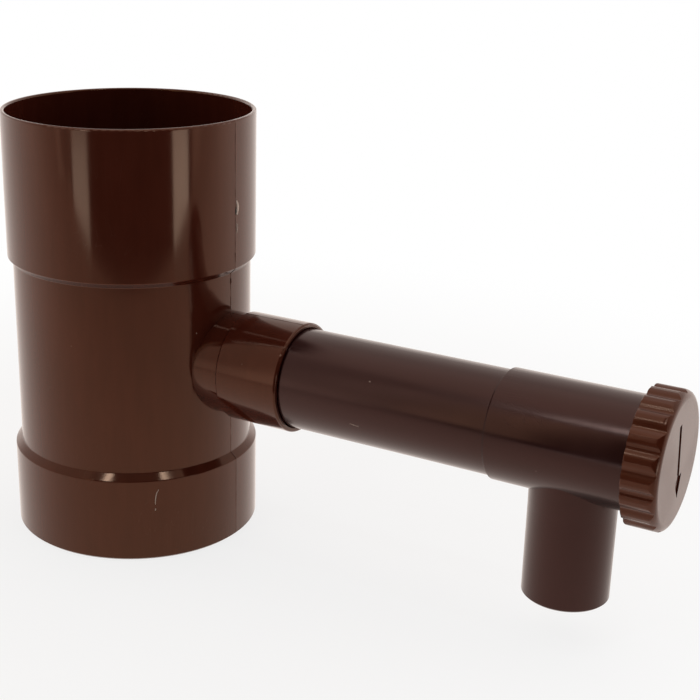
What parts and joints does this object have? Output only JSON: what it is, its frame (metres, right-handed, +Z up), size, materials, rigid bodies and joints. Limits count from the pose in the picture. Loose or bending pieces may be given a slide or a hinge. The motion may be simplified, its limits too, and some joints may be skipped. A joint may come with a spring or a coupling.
{
  "type": "rainwater diverter",
  "caption": "Double-socket downpipe fitting with an inner ring gutter and a side arm that ends in a tee with a down spigot and a half-turn valve knob.",
  "frame": {"origin": "centre of the lower socket's mouth, which is the face that the part stands on", "axes": "+Z up along the downpipe's axis, +X along the arm from the downpipe to the knob"},
  "size_m": [0.2915, 0.1054, 0.18],
  "materials": {
    "body_plastic": "glossy moulded reddish brown",
    "arm_plastic": "satin extruded dark purplish brown",
    "knob_plastic": "glossy moulded brown",
    "seal_rubber": "black"
  },
  "bodies": {
    "diverter": {"diverter_body": "body_plastic", "arm_pipe": "arm_plastic", "outlet_tee": "arm_plastic"},
    "knob": {"valve_knob": "knob_plastic", "rear_o_ring": "seal_rubber", "front_o_ring": "seal_rubber"}
  },
  "joints": [
    {"name": "knob_turn", "type": "hinge", "parent": "diverter", "child": "knob", "pos_m": [0.226, 0, 0.07905], "axis": [1, 0, 0], "range_deg": [-10, 170]}
  ]
}
